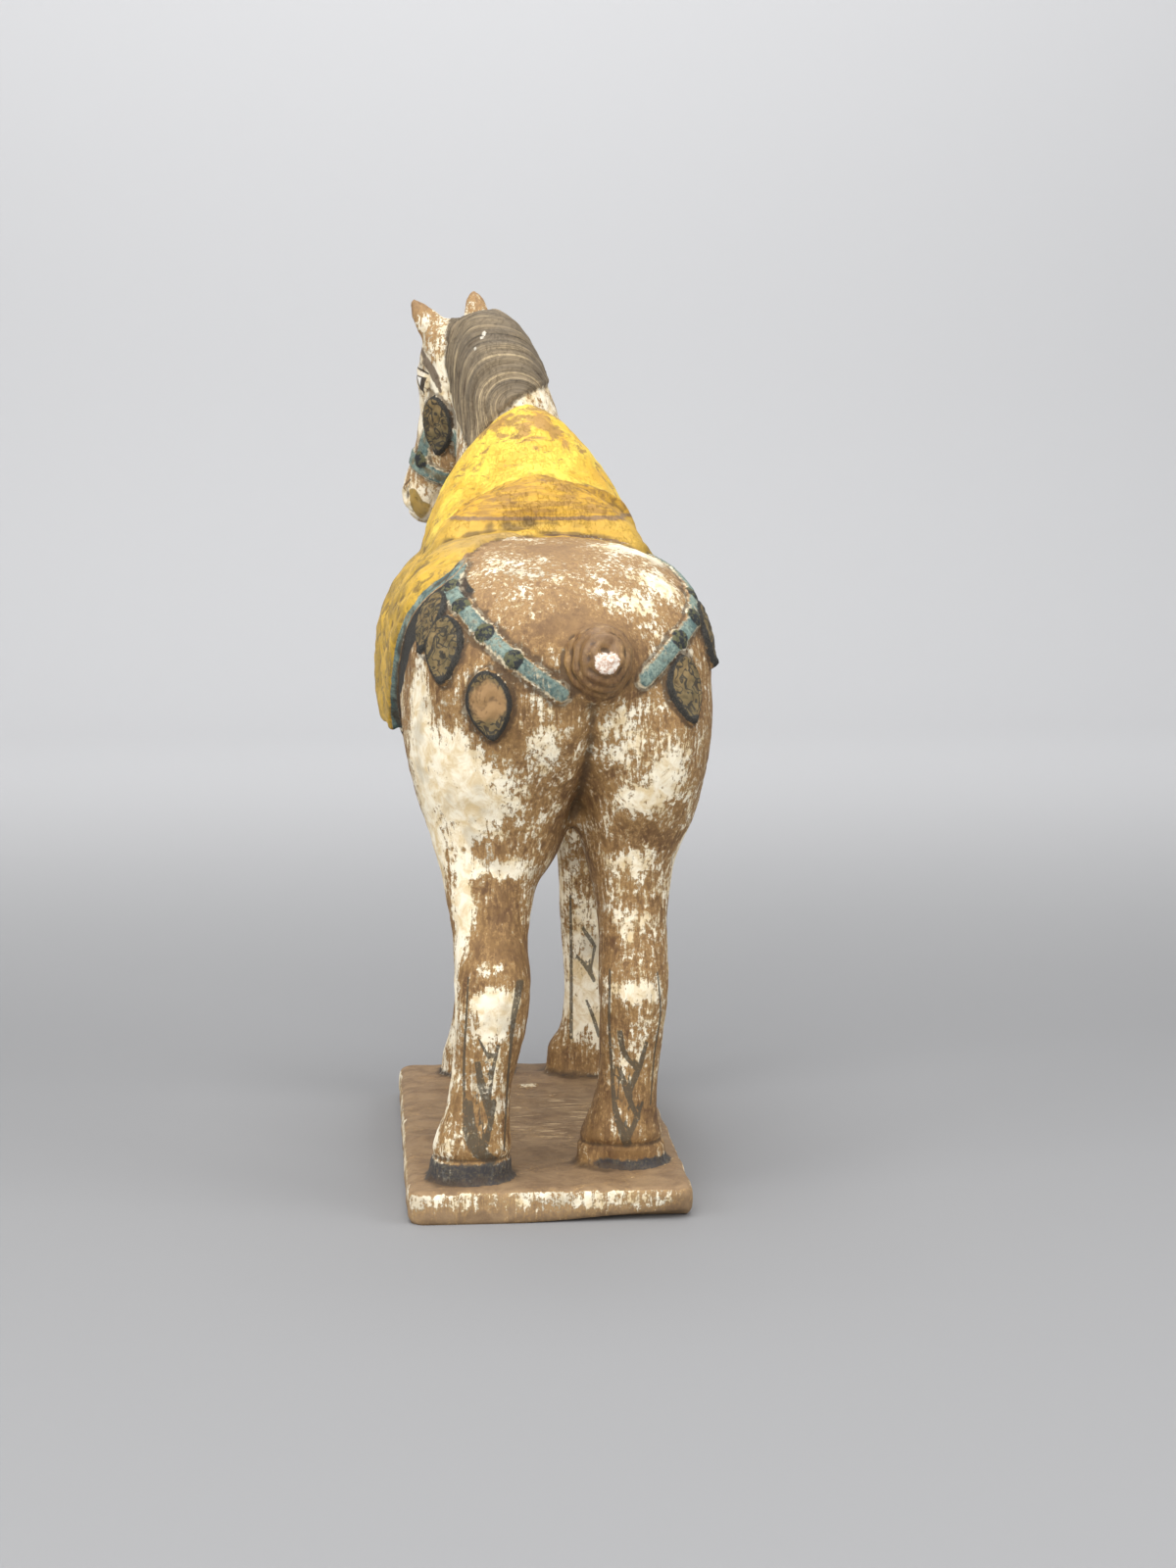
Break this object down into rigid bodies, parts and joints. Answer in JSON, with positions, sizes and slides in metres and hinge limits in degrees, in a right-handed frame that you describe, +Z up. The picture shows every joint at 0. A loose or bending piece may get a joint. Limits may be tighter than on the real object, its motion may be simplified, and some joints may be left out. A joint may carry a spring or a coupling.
{
  "type": "terracotta horse figure",
  "caption": "standing harnessed horse figure with saddle cloth, tied tail and turned head, on a thin rectangular slab",
  "frame": {"origin": "the centre of the slab's underside", "axes": "+X the horse's left side, -Y the way it looks, +Z up"},
  "size_m": [0.1313, 0.271, 0.3558],
  "materials": {
    "painted_clay": "matte"
  },
  "bodies": {
    "root": {"terracotta_horse": "painted_clay"}
  },
  "joints": []
}
